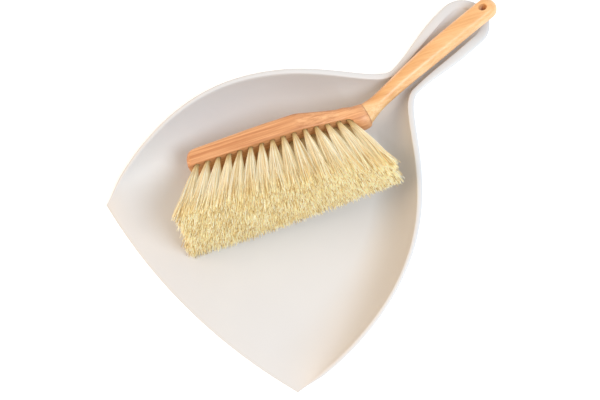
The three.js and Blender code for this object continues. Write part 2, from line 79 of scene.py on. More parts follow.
# ---- brush sizes ----
TUFTS_PER_SIDE_ROW = 15
TUFT_PITCH = 10.1
FIRST_TUFT_AT = 8.0
ROW_OFFSET = 13.5
HOLE_EDGE_MARGIN = 4.0
TUFT_RADIUS = 2.5
HOLE_DEPTH = 10.0
BRISTLE_TRIM = 62.0
BRISTLE_CROWN = 2.5
FREE_END_SPLAY = math.radians(-23.5)
HANDLE_END_SPLAY = math.radians(18)
TIP_SPREAD_FREE_END = 35.0
TIP_SPREAD_HANDLE_END = 19.0
BLOCK_WIDTH = 37.0
BLOCK_END_HEIGHT = 17.5
BLOCK_HUMP_HEIGHT = 19.6
BLOCK_END_RADIUS = 5.5
BACK_END_RADIUS = 10.0
LAST_TUFT_AT = FIRST_TUFT_AT + (TUFTS_PER_SIDE_ROW - 1) * TUFT_PITCH
SEAM_AT = LAST_TUFT_AT + 15.5
HUMP_AT = SEAM_AT - 61.0
NECK_AT = SEAM_AT - 24.0
NECK_RADIUS = 11.8
NECK_RISE = 2.4
BACK_EDGE_RADIUS = 6.5
FACE_EDGE_RADIUS = 1.6
SEAM_RADIUS = 10.05
SEAM_RISE = 4.2
SEAM_TILT = math.radians(14)
SEAM_ROUNDING = 8.0
FIT_GAP = 0.3
REST_GAP = 0.4
HANDLE_LENGTH = 158.0
HANDLE_KNEE = 60.0
HANDLE_START_ANGLE = math.radians(31)
HANDLE_END_ANGLE = math.radians(23.5)
WAIST_RADIUS = 7.3
WAIST_AT = 18.0
HANDLE_RADIUS = 9.4
HANDLE_FULL_AT = 95.0
HANDLE_FLAT = 0.82
HANDLE_SQUARENESS = 2.8
HANDLE_CAP = 10.0
HANGING_HOLE_RADIUS = 3.5
HANGING_HOLE_FROM_END = 13.0
BRUSH_HEADING = math.radians(60.7047)
BRUSH_PITCH = math.radians(6.5)
BRUSH_ROLL = math.radians(14)
KNEE_SIDESTEP = -3.3
KNEE_FROM_NECK = 12.0

# ---- fibres ----
FIBRES_PER_TUFT = 380
FIBRE_RADIUS = 0.25
BUNDLE_RADIUS = 1.75  # where the fibres leave their hole
FIBRE_FRIZZ = 1.5  # sideways wander of the fibre ends
STRAY_SHARE = 0.012
FIBRE_BOW = 0.9
FIBRE_KINK = 0.55
FOLD_DEPTH = 5.0  # how far inside its hole a fibre starts
TIP_FILL_X = 1.02  # how much of its tuft's share of the trimmed end a fibre can reach
TIP_FILL_Y = 1.12
TIP_SCATTER = (0.7, 1.2, 1.1)
FIBRE_SHARES = (0.0, 0.22, 0.46, 0.68, 0.86, 1.0)
FIBRE_TAPER = (1.0, 1.0, 1.0, 0.98, 0.95, 0.9, 0.72)
FREE_END_PULL = (6.5, -1.5, 1.0)  # upper, middle, lower row: how far the first tips stand in
FIBRE_CLEARANCE = 0.65  # from a resting fibre's middle to the pan
PAN_REACH = 46.0  # the pan is nowhere higher than this
TIP_DOME = (5.0, 0.0, 1.0)  # upper, middle, lower row: how much shorter the outer fibres are
DOME_START = 12.0
DOME_BREADTH = 22.0
FREE_END_FADE = 3.5  # tufts until the pull ends
MOUTH_RUN = 1.0  # straight part of a fibre outside its hole


# ---- shared helpers ----
def clamp(value, low=0.0, high=1.0):
    return max(low, min(high, value))


def smooth(value, start, stop):
    share = clamp((value - start) / (stop - start))
    return share * share * (3 - 2 * share)


def mix(start, stop, share):
    return start + (stop - start) * share


def new_mesh(name, points, faces, matrix=None):
    """A mesh object from points in millimetres, moved by the matrix."""
    mesh = bpy.data.meshes.new(name)
    mesh.from_pydata([tuple(c * MM for c in p) for p in points], [], faces)
    if matrix is not None:
        mesh.transform(matrix)
    mesh.validate()
    mesh.update()
    mesh.shade_smooth()
    piece = bpy.data.objects.new(name, mesh)
    bpy.context.scene.collection.objects.link(piece)
    return piece


def finish_piece(piece, body, slot, material, *nodes):
    piece.data.materials.clear()
    piece.data.materials.append(material)
    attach(piece, body)
    if nodes:
        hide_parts(*nodes)
    return piece


def loft(rings):
    """Faces and points of a closed solid through rings of equal length."""
    count = len(rings[0])
    points = [p for ring in rings for p in ring]
    faces = []
    for r in range(len(rings) - 1):
        for k in range(count):
            a = r * count + k
            b = r * count + (k + 1) % count
            faces.append((a, b, b + count, a + count))
    last = (len(rings) - 1) * count
    faces.append(tuple(range(count - 1, -1, -1)))
    faces.append(tuple(last + k for k in range(count)))
    return points, faces


def cylinder_rings(start, end, profile, sides):
    """Rings round the axis from start to end; the profile lists (share of the way, radius)."""
    axis = (end - start).normalized()
    side = axis.orthogonal().normalized()
    other = axis.cross(side)
    rings = []
    for share, radius in profile:
        centre = start.lerp(end, share)
        rings.append([
            centre + radius * (math.cos(2 * math.pi * k / sides) * side
                               + math.sin(2 * math.pi * k / sides) * other)
            for k in range(sides)
        ])
    return rings


def join_solids(solids):
    points = []
    faces = []
    for some_points, some_faces in solids:
        base = len(points)
        points.extend(some_points)
        faces.extend(tuple(base + k for k in face) for face in some_faces)
    return points, faces


def cut_holes(piece, solids, matrix):
    points, faces = join_solids(solids)
    tool = new_mesh(piece.name + "_cutter", points, faces, matrix)
    boolean = piece.modifiers.new("holes", "BOOLEAN")
    boolean.operation = "DIFFERENCE"
    boolean.solver = "EXACT"
    boolean.use_self = True
    boolean.object = tool
    bpy.context.view_layer.update()
    evaluated = piece.evaluated_get(bpy.context.evaluated_depsgraph_get())
    mesh = bpy.data.meshes.new_from_object(evaluated)
    piece.modifiers.clear()
    old = piece.data
    piece.data = mesh
    bpy.data.meshes.remove(old)
    bpy.data.objects.remove(tool)
    mesh.shade_smooth()
    mesh.set_sharp_from_angle(angle=math.radians(32))


# ---- dustpan ----
def bezier(a, b, c, d, t):
    s = 1 - t
    return tuple(
        s ** 3 * a[k] + 3 * s * s * t * b[k] + 3 * s * t * t * c[k] + t ** 3 * d[k]
        for k in (0, 1)
    )


def rim_stations():
    """Points (x, along) of the rim's inner edge on the +X side, with the outward direction."""
    half = SCOOP_WIDTH / 2
    neck = NECK_WIDTH / 2
    grip = GRIP_WIDTH / 2
    lip = LIP_WIDTH / 2
    curves = [
        ((lip, 0), (mix(lip, half, 0.6), SHOULDER_AT * 0.4), (half, SHOULDER_AT * 0.65),
         (half, SHOULDER_AT), 26),
        ((half, SHOULDER_AT), (half, SHOULDER_AT + SHOULDER_REACH),
         (neck, SCOOP_LENGTH - NECK_REACH), (neck, SCOOP_LENGTH), 72),
        ((neck, SCOOP_LENGTH), (neck, SCOOP_LENGTH + GRIP_LENGTH * 0.3),
         (grip, GRIP_END - grip - GRIP_LENGTH * 0.3), (grip, GRIP_END - grip), 30),
    ]
    places = []
    for a, b, c, d, steps in curves:
        for k in range(1 if places else 0, steps + 1):
            places.append(bezier(a, b, c, d, k / steps))
    for k in range(1, 17):
        angle = math.pi / 2 * k / 16
        places.append((grip * math.cos(angle), GRIP_END - grip + grip * math.sin(angle)))
    stations = []
    for k, (x, along) in enumerate(places):
        before = places[max(0, k - 1)]
        after = places[min(len(places) - 1, k + 1)]
        tangent = Vector((after[0] - before[0], after[1] - before[1])).normalized()
        stations.append((x, along, tangent.y, -tangent.x))
    stations[-1] = (0.0, GRIP_END, 0.0, 1.0)
    return stations


def floor_top(along):
    wall = mix(LIP_EDGE, PAN_WALL, clamp(along / LIP_TAPER))
    ramp = smooth(along, SCOOP_LENGTH + 10 - RAMP_LENGTH, SCOOP_LENGTH + 10)
    return wall + (GRIP_FLOOR - PAN_WALL) * ramp


def rim_top(along):
    scoop = mix(LIP_EDGE, RIM_HEIGHT, math.sin(math.pi / 2 * min(1, along / RIM_CLIMB)))
    ramp = smooth(along, SCOOP_LENGTH + 10 - RAMP_LENGTH, SCOOP_LENGTH + 5)
    grip = mix(scoop, GRIP_FLOOR + GRIP_DEPTH, ramp)
    opening = smooth(along, GRIP_END - GRIP_LENGTH * 0.35, GRIP_END)
    return max(mix(grip, GRIP_FLOOR + GRIP_TIP_DEPTH, opening), floor_top(along))


def turn_breadth(along):
    scoop = mix(TURN_START, RIM_TURN, smooth(along, 0, 30))
    neck = mix(scoop, NECK_TURN, smooth(along, SCOOP_LENGTH * 0.4, SCOOP_LENGTH))
    return mix(neck, GRIP_TURN, smooth(along, SCOOP_LENGTH, SCOOP_LENGTH + GRIP_LENGTH * 0.6))


FLAT_STEPS = 8
WALL_STEPS = 26
TURN_SHARES = (
    (0.12, 0.42), (0.3, 0.9), (0.52, 1.0), (0.72, 0.85), (0.86, 0.25), (0.95, -0.7), (1.0, -1.6),
)  # across the turned-out rim: share of its breadth, rise in shares of its crown


def half_row(station):
    x_rim, along, out_x, out_y = station
    floor = floor_top(along)
    rim = rim_top(along)
    flat = max(x_rim - WALL_BREADTH, min(TROUGH_FLAT, x_rim * 0.3))
    bow = LIP_BOW * (1 - smooth(along, 0, BOW_FADE))
    row = [[flat * k / FLAT_STEPS, along, floor] for k in range(FLAT_STEPS + 1)]
    for k in range(1, WALL_STEPS + 1):
        angle = WALL_ANGLE * k / WALL_STEPS
        out = math.sin(angle) / math.sin(WALL_ANGLE)
        up = (1 - math.cos(angle)) / (1 - math.cos(WALL_ANGLE))
        row.append([mix(flat, x_rim, out), along, mix(floor, rim, up)])
    for point in row:
        share = point[0] / x_rim if x_rim > 0 else 0
        point[1] -= bow * (1 - share * share)
    breadth = turn_breadth(along)
    grown = smooth(along, 0, 30)
    for share, rise in TURN_SHARES:
        row.append([
            x_rim + out_x * breadth * share,
            along + out_y * breadth * share,
            rim + rise * TURN_CROWN * grown,
        ])
    return row


def make_dustpan(material):
    rows = []
    for station in rim_stations():
        right = half_row(station)
        left = [[-p[0], p[1], p[2]] for p in right[1:]]
        rows.append(left[::-1] + right)
    top = np.array(rows)
    count_rows, count_columns = top.shape[:2]
    along_rows = np.gradient(top, axis=0)
    along_columns = np.gradient(top, axis=1)
    normal = np.cross(along_columns, along_rows)
    length = np.linalg.norm(normal, axis=2, keepdims=True)
    normal = np.where(length > 1e-6, normal / np.maximum(length, 1e-6), np.array([0, 0, 1.0]))
    wall = LIP_EDGE + (PAN_WALL - LIP_EDGE) * np.clip(top[:, :, 1] / LIP_TAPER, 0, 1)
    under = top - normal * wall[:, :, None]
    on_floor = top[:, :, 2] <= wall + 1e-6
    under[on_floor] = top[on_floor]
    under[:, :, 2] = np.where(on_floor, 0.0, np.maximum(under[:, :, 2], 0.0))
    top[:, :, 1] -= ORIGIN_FROM_LIP
    under[:, :, 1] -= ORIGIN_FROM_LIP

    points = np.concatenate([top.reshape(-1, 3), under.reshape(-1, 3)]).tolist()
    size = count_rows * count_columns
    faces = []
    for r in range(count_rows - 1):
        for c in range(count_columns - 1):
            a = r * count_columns + c
            b = a + count_columns
            faces.append((a, a + 1, b + 1, b))
            faces.append((a + size, b + size, b + 1 + size, a + 1 + size))

    # the outer edge, from the lip round to the grip's end, is rounded with two more rows of points
    lip = [c for c in range(count_columns)]
    right = [r * count_columns + count_columns - 1 for r in range(1, count_rows)]
    left = [r * count_columns for r in range(count_rows - 1, 0, -1)]
    loop = lip + right + left
    rounded = {}
    for share in (0.25, 0.75):
        ring = []
        for k, index in enumerate(loop):
            before = np.array(points[loop[k - 1]])
            after = np.array(points[loop[(k + 1) % len(loop)]])
            tangent = after - before
            upper = np.array(points[index])
            lower = np.array(points[index + size])
            outward = np.cross(tangent, upper - lower)
            outward /= max(np.linalg.norm(outward), 1e-9)
            bulge = 0.42 * np.linalg.norm(upper - lower) * math.sin(math.pi * share)
            ring.append(len(points))
            points.append((upper + (lower - upper) * share + outward * bulge).tolist())
        rounded[share] = ring
    for k in range(len(loop)):
        n = (k + 1) % len(loop)
        faces.append((loop[n], loop[k], rounded[0.25][k], rounded[0.25][n]))
        faces.append((rounded[0.25][n], rounded[0.25][k], rounded[0.75][k], rounded[0.75][n]))
        faces.append((rounded[0.75][n], rounded[0.75][k], loop[k] + size, loop[n] + size))
    pan = new_mesh("pan_moulding", points, faces)
    weld = pan.modifiers.new("weld", "WELD")
    weld.merge_threshold = 0.02 * MM
    bpy.context.view_layer.update()
    evaluated = pan.evaluated_get(bpy.context.evaluated_depsgraph_get())
    mesh = bpy.data.meshes.new_from_object(evaluated)
    pan.modifiers.clear()
    pan.data = mesh
    mesh.validate()
    mesh.shade_smooth()
    mesh.set_sharp_from_angle(angle=math.radians(60))
    return finish_piece(pan, "dustpan", "pan_white", material, "dustpan_shell")


# ---- brush placement ----
def slope(angle):
    return Vector((math.cos(angle), 0, math.sin(angle)))


SEAM_CENTRE = Vector((SEAM_AT, 0, SEAM_RISE))
SEAM_NORMAL = slope(SEAM_TILT)
HANDLE_START = SEAM_CENTRE + SEAM_NORMAL * FIT_GAP
HANDLE_KNEE_POINT = HANDLE_START + slope(HANDLE_START_ANGLE) * HANDLE_KNEE
HANDLE_END = HANDLE_KNEE_POINT + slope(HANDLE_END_ANGLE) * (HANDLE_LENGTH - HANDLE_KNEE)
BRUSH_TURN = (
    Matrix.Rotation(BRUSH_HEADING, 3, "Z")
    @ Matrix.Rotation(-BRUSH_PITCH, 3, "Y")
    @ Matrix.Rotation(-math.pi / 2 - BRUSH_ROLL, 3, "X")
)
KNEE_IN_PAN = Vector((
    KNEE_SIDESTEP,
    SCOOP_LENGTH + KNEE_FROM_NECK - ORIGIN_FROM_LIP,
    GRIP_FLOOR + HANDLE_RADIUS + REST_GAP,
))
BRUSH_PLACE = Matrix.Translation((KNEE_IN_PAN - BRUSH_TURN @ HANDLE_KNEE_POINT) * MM) @ BRUSH_TURN.to_4x4()


# ---- block ----
def taper_share(x):
    return clamp((x - HUMP_AT) / (NECK_AT - HUMP_AT))


def seam_share(x):
    into = clamp((x - (SEAM_AT - SEAM_ROUNDING)) / SEAM_ROUNDING)
    return 1 - math.sqrt(1 - into * into)


def round_in(x, radius):
    into = max(0.0, radius - x)
    return radius - math.sqrt(max(0.0, radius ** 2 - into ** 2))


def block_half_width(x):
    body = mix(BLOCK_WIDTH / 2, NECK_RADIUS, taper_share(x))
    return mix(body, SEAM_RADIUS, seam_share(x)) - round_in(x, BLOCK_END_RADIUS)


def block_top(x):
    back = mix(BLOCK_END_HEIGHT, BLOCK_HUMP_HEIGHT, smooth(x, 0, HUMP_AT * 0.75))
    body = mix(back, NECK_RISE + NECK_RADIUS, taper_share(x))
    return mix(body, SEAM_RISE + SEAM_RADIUS, seam_share(x)) - round_in(x, BACK_END_RADIUS)


def block_face(x):
    neck = smooth(x, NECK_AT + 4, SEAM_AT - SEAM_ROUNDING) * (NECK_RISE - NECK_RADIUS)
    return mix(neck, SEAM_RISE - SEAM_RADIUS, seam_share(x)) + round_in(x, FACE_EDGE_RADIUS)


def block_ring(x):
    half_width = block_half_width(x)
    top = block_top(x)
    face = block_face(x)
    full = min(half_width, (top - face) / 2)
    back_radius = mix(BACK_EDGE_RADIUS, full, smooth(x, HUMP_AT, SEAM_AT - SEAM_ROUNDING))
    face_radius = mix(FACE_EDGE_RADIUS, full, smooth(x, NECK_AT, SEAM_AT - SEAM_ROUNDING))
    lean = math.tan(SEAM_TILT) * smooth(x, NECK_AT, SEAM_AT)
    middle = (top + face) / 2
    ring = []
    for side_y, side_z, wanted, start in (
        (1, -1, face_radius, -90), (1, 1, back_radius, 0),
        (-1, 1, back_radius, 90), (-1, -1, face_radius, 180),
    ):
        radius = min(wanted, full)
        centre_y = side_y * (half_width - radius)
        centre_z = top - radius if side_z > 0 else face + radius
        for k in range(11):
            angle = math.radians(start + 90 * k / 10)
            y = centre_y + radius * math.cos(angle)
            z = centre_z + radius * math.sin(angle)
            ring.append(Vector((x - lean * (z - middle), y, z)))
    return ring


def tuft_plan(place, side):
    share = place / (TUFTS_PER_SIDE_ROW - 1)
    x = FIRST_TUFT_AT + place * TUFT_PITCH
    offset = min(ROW_OFFSET, block_half_width(x) - HOLE_EDGE_MARGIN)
    root = Vector((x, side * offset, block_face(x)))
    narrowing = max(0.0, (share - 0.2) / 0.8) ** 1.4
    spread = mix(TIP_SPREAD_FREE_END, TIP_SPREAD_HANDLE_END, narrowing)
    first_tip = FIRST_TUFT_AT + BRISTLE_TRIM * math.tan(FREE_END_SPLAY)
    last_tip = LAST_TUFT_AT + BRISTLE_TRIM * math.tan(HANDLE_END_SPLAY)
    tip_pitch = (last_tip - first_tip) / (TUFTS_PER_SIDE_ROW - 1)
    length = BRISTLE_TRIM + (BRISTLE_CROWN if side == 0 else 0)
    tip = Vector((first_tip + place * tip_pitch, side * spread * 2 / 3, -length))
    return {
        "root": root, "tip": tip, "direction": (tip - root).normalized(),
        "half_x": tip_pitch / 2, "half_y": spread / 3, "side": side, "place": place,
    }


def tuft_plans():
    plans = {}
    for row, side in (("upper", -1), ("middle", 0), ("lower", 1)):
        shift = 0.5 if side == 0 else 0.0
        count = TUFTS_PER_SIDE_ROW - (1 if side == 0 else 0)
        for k in range(count):
            plans[f"tuft_{row}_{k + 1:02d}"] = tuft_plan(k + shift, side)
    return plans


def make_block(plans, material):
    stations = [0, 0.12, 0.35, 0.7, 1.2, 1.8, 2.6, 3.5, 4.5, 5.5, 6.8, 8.3, BACK_END_RADIUS]
    stations += [mix(BACK_END_RADIUS, HUMP_AT, k / 14) for k in range(1, 14)]
    stations += [HUMP_AT - 1.5, HUMP_AT + 1.5]
    stations += [mix(HUMP_AT, NECK_AT, k / 8) for k in range(1, 8)]
    stations += [NECK_AT - 1.2, NECK_AT + 1.2]
    rounding = SEAM_AT - SEAM_ROUNDING
    stations += [mix(NECK_AT, rounding, k / 12) for k in range(1, 13)]
    stations += [mix(rounding, SEAM_AT, s) for s in (0.2, 0.38, 0.54, 0.68, 0.8, 0.89, 0.95, 0.985, 1)]
    stations = sorted(s for s in stations if s >= 0)
    points, faces = loft([block_ring(x) for x in stations])
    block = new_mesh("block", points, faces, BRUSH_PLACE)
    tools = []
    for plan in plans.values():
        start = plan["root"] - plan["direction"] * HOLE_DEPTH
        end = plan["root"] + plan["direction"] * HOLE_DEPTH
        rings = cylinder_rings(start, end, ((0, TUFT_RADIUS), (1, TUFT_RADIUS)), 24)
        tools.append(loft(rings))
    cut_holes(block, tools, BRUSH_PLACE)
    return finish_piece(block, "brush", "block_wood", material, "brush_block")


# ---- handle ----
def handle_axis():
    """Closely spaced points along the handle's bent axis, with the running length up to each."""
    fine = []
    for k in range(2001):
        t = k / 2000
        s = 1 - t
        fine.append(s * s * HANDLE_START + 2 * s * t * HANDLE_KNEE_POINT + t * t * HANDLE_END)
    lengths = [0.0]
    for a, b in zip(fine, fine[1:]):
        lengths.append(lengths[-1] + (b - a).length)
    return fine, lengths


AXIS_POINTS, AXIS_LENGTHS = handle_axis()
HANDLE_TOTAL = AXIS_LENGTHS[-1]


def axis_at(distance):
    k = int(np.searchsorted(AXIS_LENGTHS, distance))
    k = max(1, min(len(AXIS_POINTS) - 1, k))
    a, b = AXIS_POINTS[k - 1], AXIS_POINTS[k]
    share = (distance - AXIS_LENGTHS[k - 1]) / (AXIS_LENGTHS[k] - AXIS_LENGTHS[k - 1])
    run = b - a
    return a.lerp(b, clamp(share)), math.atan2(run.z, run.x)


def handle_radius(distance):
    flare = mix(SEAM_RADIUS, WAIST_RADIUS, math.sin(math.pi / 2 * min(1, distance / WAIST_AT)))
    return flare + (HANDLE_RADIUS - WAIST_RADIUS) * smooth(distance, WAIST_AT, HANDLE_FULL_AT)


def handle_ring(distance, sides=56):
    centre, heading = axis_at(distance)
    angle = mix(SEAM_TILT, heading, smooth(distance, 0, WAIST_AT))
    into_cap = max(0.0, distance - (HANDLE_TOTAL - HANDLE_CAP)) / HANDLE_CAP
    cap = math.sqrt(max(0.0, 1 - into_cap ** 2.4))
    flattening = smooth(distance, WAIST_AT, HANDLE_TOTAL - HANDLE_CAP)
    tall = handle_radius(distance) * cap
    broad = tall * mix(1, HANDLE_FLAT, flattening)
    power = 2 / mix(2, HANDLE_SQUARENESS, flattening)
    across = Vector((-math.sin(angle), 0, math.cos(angle)))
    ring = []
    for k in range(sides):
        turn = 2 * math.pi * k / sides
        up = math.copysign(abs(math.sin(turn)) ** power, math.sin(turn)) * tall
        point = centre + across * up
        point.y += math.copysign(abs(math.cos(turn)) ** power, math.cos(turn)) * broad
        ring.append(point)
    return ring


def make_handle(material):
    cap_start = HANDLE_TOTAL - HANDLE_CAP
    distances = [0, 0.25, 1.5, 3, 4.5, 6.5, 8.5, 10.5, 12.5, 14.5, 16.2, WAIST_AT]
    distances += [mix(WAIST_AT, cap_start, k / 40) for k in range(1, 41)]
    shares = (0.15, 0.3, 0.44, 0.57, 0.68, 0.78, 0.86, 0.92, 0.96, 0.985, 0.997)
    distances += [mix(cap_start, HANDLE_TOTAL, s) for s in shares]
    points, faces = loft([handle_ring(d) for d in distances])
    handle = new_mesh("handle", points, faces, BRUSH_PLACE)
    centre, _ = axis_at(HANDLE_TOTAL - HANGING_HOLE_FROM_END)
    broad = HANDLE_RADIUS * HANDLE_FLAT
    reach = 2.0 * HANDLE_RADIUS
    start = centre - Vector((0, reach, 0))
    end = centre + Vector((0, reach, 0))
    inner = 0.5 - (broad - 0.9) / (2 * reach)
    outer = 0.5 - (broad + 0.5) / (2 * reach)
    wide = HANGING_HOLE_RADIUS + 1.0
    profile = ((0, wide), (outer, wide), (inner, HANGING_HOLE_RADIUS),
               (1 - inner, HANGING_HOLE_RADIUS), (1 - outer, wide), (1, wide))
    cut_holes(handle, [loft(cylinder_rings(start, end, profile, 48))], BRUSH_PLACE)
    return finish_piece(handle, "brush", "handle_wood", material, "brush_handle")


# ---- tufts ----
def lift_off_pan(centres, pan_tree):
    """How far each point of the fibres must rise to lie on the pan instead of going through it."""
    lift = np.zeros(centres.shape[:2])
    for fibre, ring in np.argwhere(centres[:, :, 2] < PAN_REACH * MM):
        x, y, z = centres[fibre, ring]
        spot = pan_tree.ray_cast(Vector((x, y, 0.2)), Vector((0, 0, -1)))[0]
        if spot is not None:
            lift[fibre, ring] = max(0.0, spot.z + FIBRE_CLEARANCE * MM - z)
    return lift


def make_tuft(name, plan, material, rng, pan_tree):
    """A bundle of separate fibres, round where it leaves its hole and flared to its trimmed end."""
    count = FIBRES_PER_TUFT
    root = np.array(plan["root"])
    tip = np.array(plan["tip"])
    direction = np.array(plan["direction"])
    across = np.array([-direction[2], 0, direction[0]])
    across /= np.linalg.norm(across)
    across *= -1 if across[0] < 0 else 1
    aside = np.cross(direction, across)
    aside *= -1 if aside[1] < 0 else 1
    u = rng.uniform(-1, 1, count)
    v = rng.uniform(-1, 1, count)
    # the square of tip places, drawn in to a disc where the fibres leave the hole
    disc_x = u * np.sqrt(1 - v * v / 2) * BUNDLE_RADIUS
    disc_y = v * np.sqrt(1 - u * u / 2) * BUNDLE_RADIUS
    starts = root - direction * FOLD_DEPTH + disc_x[:, None] * across + disc_y[:, None] * aside
    leaving = root + direction * MOUTH_RUN + disc_x[:, None] * across + disc_y[:, None] * aside
    pull_in = FREE_END_PULL[plan["side"] + 1] * max(0.0, 1 - plan["place"] / FREE_END_FADE)
    ends = np.empty((count, 3))
    ends[:, 0] = tip[0] + pull_in + u * plan["half_x"] * TIP_FILL_X + rng.normal(0, TIP_SCATTER[0], count)
    ends[:, 1] = tip[1] + v * plan["half_y"] * TIP_FILL_Y + rng.normal(0, TIP_SCATTER[1], count)
    ends[:, 2] = tip[2] + rng.normal(0, TIP_SCATTER[2], count)
    # the trimmed end is domed: the outer fibres of the side rows end a little higher
    outer = np.clip((np.abs(ends[:, 1]) - DOME_START) / DOME_BREADTH, 0, 1)
    ends[:, 2] += TIP_DOME[plan["side"] + 1] * outer ** 2
    stray = rng.random(count) < STRAY_SHARE
    ends[stray, 0] += rng.normal(0, 3.0, stray.sum())
    ends[stray, 1] += rng.normal(0, 2.0, stray.sum())
    ends[stray, 2] -= rng.uniform(0.5, 3.0, stray.sum())

    # each fibre bows a little, and its last part wanders
    bow = rng.normal(0, FIBRE_BOW, (count, 2))
    frizz = rng.normal(0, FIBRE_FRIZZ, (count, 2))
    kink = rng.normal(0, FIBRE_KINK, (count, 2))
    centres = [starts, leaving]
    for share in FIBRE_SHARES[1:]:
        place = leaving + (ends - leaving) * share
        arch = math.sin(math.pi * share)
        curl = smooth(share, 0.55, 1.0)
        shift = bow * arch + frizz * curl * 0.8 + kink * (arch if share < 0.9 else 0)
        place = place + shift[:, :1] * across + shift[:, 1:] * aside
        centres.append(place)
    centres = np.stack(centres, axis=1)
    rings = centres.shape[1]
    thick = FIBRE_RADIUS * rng.uniform(0.75, 1.3, count)
    taper = np.array(FIBRE_TAPER)[:rings]
    turn = rng.uniform(0, 2 * math.pi, count)
    corners = []
    for k in range(3):
        angle = turn + 2 * math.pi * k / 3
        corners.append(np.cos(angle)[:, None] * across + np.sin(angle)[:, None] * aside)
    corners = np.stack(corners, axis=1)
    points = centres[:, :, None, :] + corners[:, None, :, :] * (thick[:, None] * taper)[:, :, None, None]
    turned = np.array(BRUSH_PLACE.to_3x3())
    moved = np.array(BRUSH_PLACE.translation)
    points = points * MM @ turned.T + moved
    points[:, :, :, 2] += lift_off_pan(centres * MM @ turned.T + moved, pan_tree)[:, :, None]
    flat = points.reshape(-1, 3)
    base = np.arange(count) * rings * 3
    faces = []
    for r in range(rings - 1):
        for k in range(3):
            n = (k + 1) % 3
            here = base + r * 3
            beyond = here + 3
            quad = np.stack([here + k, beyond + k, beyond + n, here + n], 1)
            faces.append(quad)
    faces = np.concatenate(faces).tolist()
    last = (rings - 1) * 3
    faces += np.stack([base + last, base + last + 2, base + last + 1], 1).tolist()
    faces += np.stack([base + 2, base, base + 1], 1).tolist()
    mesh = bpy.data.meshes.new(name)
    mesh.from_pydata(flat.tolist(), [], faces)
    mesh.update()
    mesh.shade_smooth()
    # per-point: how far along the fibre, and two random numbers of the fibre
    along = np.concatenate([[0.0], FIBRE_SHARES])
    along = np.repeat(np.tile(along[:rings], count), 3)
    tone = np.repeat(rng.random(count), rings * 3)
    dark = np.repeat(rng.random(count), rings * 3)
    values = np.stack([along, tone, dark, np.ones_like(along)], 1).astype(np.float32)
    layer = mesh.attributes.new("fibre", "FLOAT_COLOR", "POINT")
    layer.data.foreach_set("color", values.ravel())
    piece = bpy.data.objects.new(name, mesh)
    bpy.context.scene.collection.objects.link(piece)
    return finish_piece(piece, "brush", "bristle_fibre", material, name.replace("fibres_", "tuft_"))


def make_staples(plans, material):
    """The wire that holds each folded tuft at the bottom of its hole, one piece for each row."""
    for row in ("upper", "middle", "lower"):
        solids = []
        for name, plan in plans.items():
            if f"_{row}_" not in name:
                continue
            foot = plan["root"] - plan["direction"] * (HOLE_DEPTH - 2.2)
            path = [(-1.9, 1.5), (-1.9, -0.4), (-1.2, -1.1), (1.2, -1.1), (1.9, -0.4), (1.9, 1.5)]
            across = Vector((-plan["direction"].z, 0, plan["direction"].x)).normalized()
            centres = [foot + across * x - plan["direction"] * (-z) for x, z in path]
            rings = []
            for k, centre in enumerate(centres):
                before = centres[max(0, k - 1)]
                after = centres[min(len(centres) - 1, k + 1)]
                tangent = (after - before).normalized()
                side = Vector((0, 1, 0))
                other = tangent.cross(side).normalized()
                rings.append([
                    centre + 0.4 * (math.cos(math.pi * j / 4) * side + math.sin(math.pi * j / 4) * other)
                    for j in range(8)
                ])
            solids.append(loft(rings))
        points, faces = join_solids(solids)
        staples = new_mesh(f"staples_{row}", points, faces, BRUSH_PLACE)
        finish_piece(staples, "brush", "staple_wire", material)


# ---- materials ----
def new_material(name):
    material = bpy.data.materials.new(name)
    material.use_nodes = True
    tree = material.node_tree
    shader = next(n for n in tree.nodes if n.type == "BSDF_PRINCIPLED")
    return material, tree, shader


def ramp(tree, stops, source):
    made = tree.nodes.new("ShaderNodeValToRGB")
    elements = made.color_ramp.elements
    while len(elements) > 1:
        elements.remove(elements[-1])
    elements[0].position, elements[0].color = stops[0][0], (*stops[0][1], 1)
    for place, colour in stops[1:]:
        elements.new(place).color = (*colour, 1)
    tree.links.new(source, made.inputs["Fac"])
    return made.outputs["Color"]


def noise(tree, coords, scale, detail=4.0, roughness=0.5, distortion=0.0):
    made = tree.nodes.new("ShaderNodeTexNoise")
    made.inputs["Scale"].default_value = scale
    made.inputs["Detail"].default_value = detail
    made.inputs["Roughness"].default_value = roughness
    made.inputs["Distortion"].default_value = distortion
    tree.links.new(coords, made.inputs["Vector"])
    return made.outputs["Fac"]


def scaled(tree, coords, scale):
    made = tree.nodes.new("ShaderNodeMapping")
    made.inputs["Scale"].default_value = scale
    tree.links.new(coords, made.inputs["Vector"])
    return made.outputs["Vector"]


def mix_colour(tree, factor, first, second, blend="MIX"):
    made = tree.nodes.new("ShaderNodeMix")
    made.data_type = "RGBA"
    made.blend_type = blend
    for socket, value in ((made.inputs[0], factor), (made.inputs[6], first), (made.inputs[7], second)):
        if isinstance(value, bpy.types.NodeSocket):
            tree.links.new(value, socket)
        elif isinstance(value, tuple):
            socket.default_value = (*value, 1)
        else:
            socket.default_value = value
    return made.outputs[2]


def bump(tree, shader, height, strength, distance):
    made = tree.nodes.new("ShaderNodeBump")
    made.inputs["Strength"].default_value = strength
    made.inputs["Distance"].default_value = distance
    tree.links.new(height, made.inputs["Height"])
    tree.links.new(made.outputs["Normal"], shader.inputs["Normal"])


def object_coords(tree):
    return tree.nodes.new("ShaderNodeTexCoord").outputs["Object"]


def brush_coords(tree):
    """Object coordinates turned so that X runs along the brush block."""
    made = tree.nodes.new("ShaderNodeMapping")
    made.vector_type = "TEXTURE"
    made.inputs["Location"].default_value = BRUSH_PLACE.translation
    made.inputs["Rotation"].default_value = BRUSH_TURN.to_euler("XYZ")
    tree.links.new(object_coords(tree), made.inputs["Vector"])
    return made.outputs["Vector"]


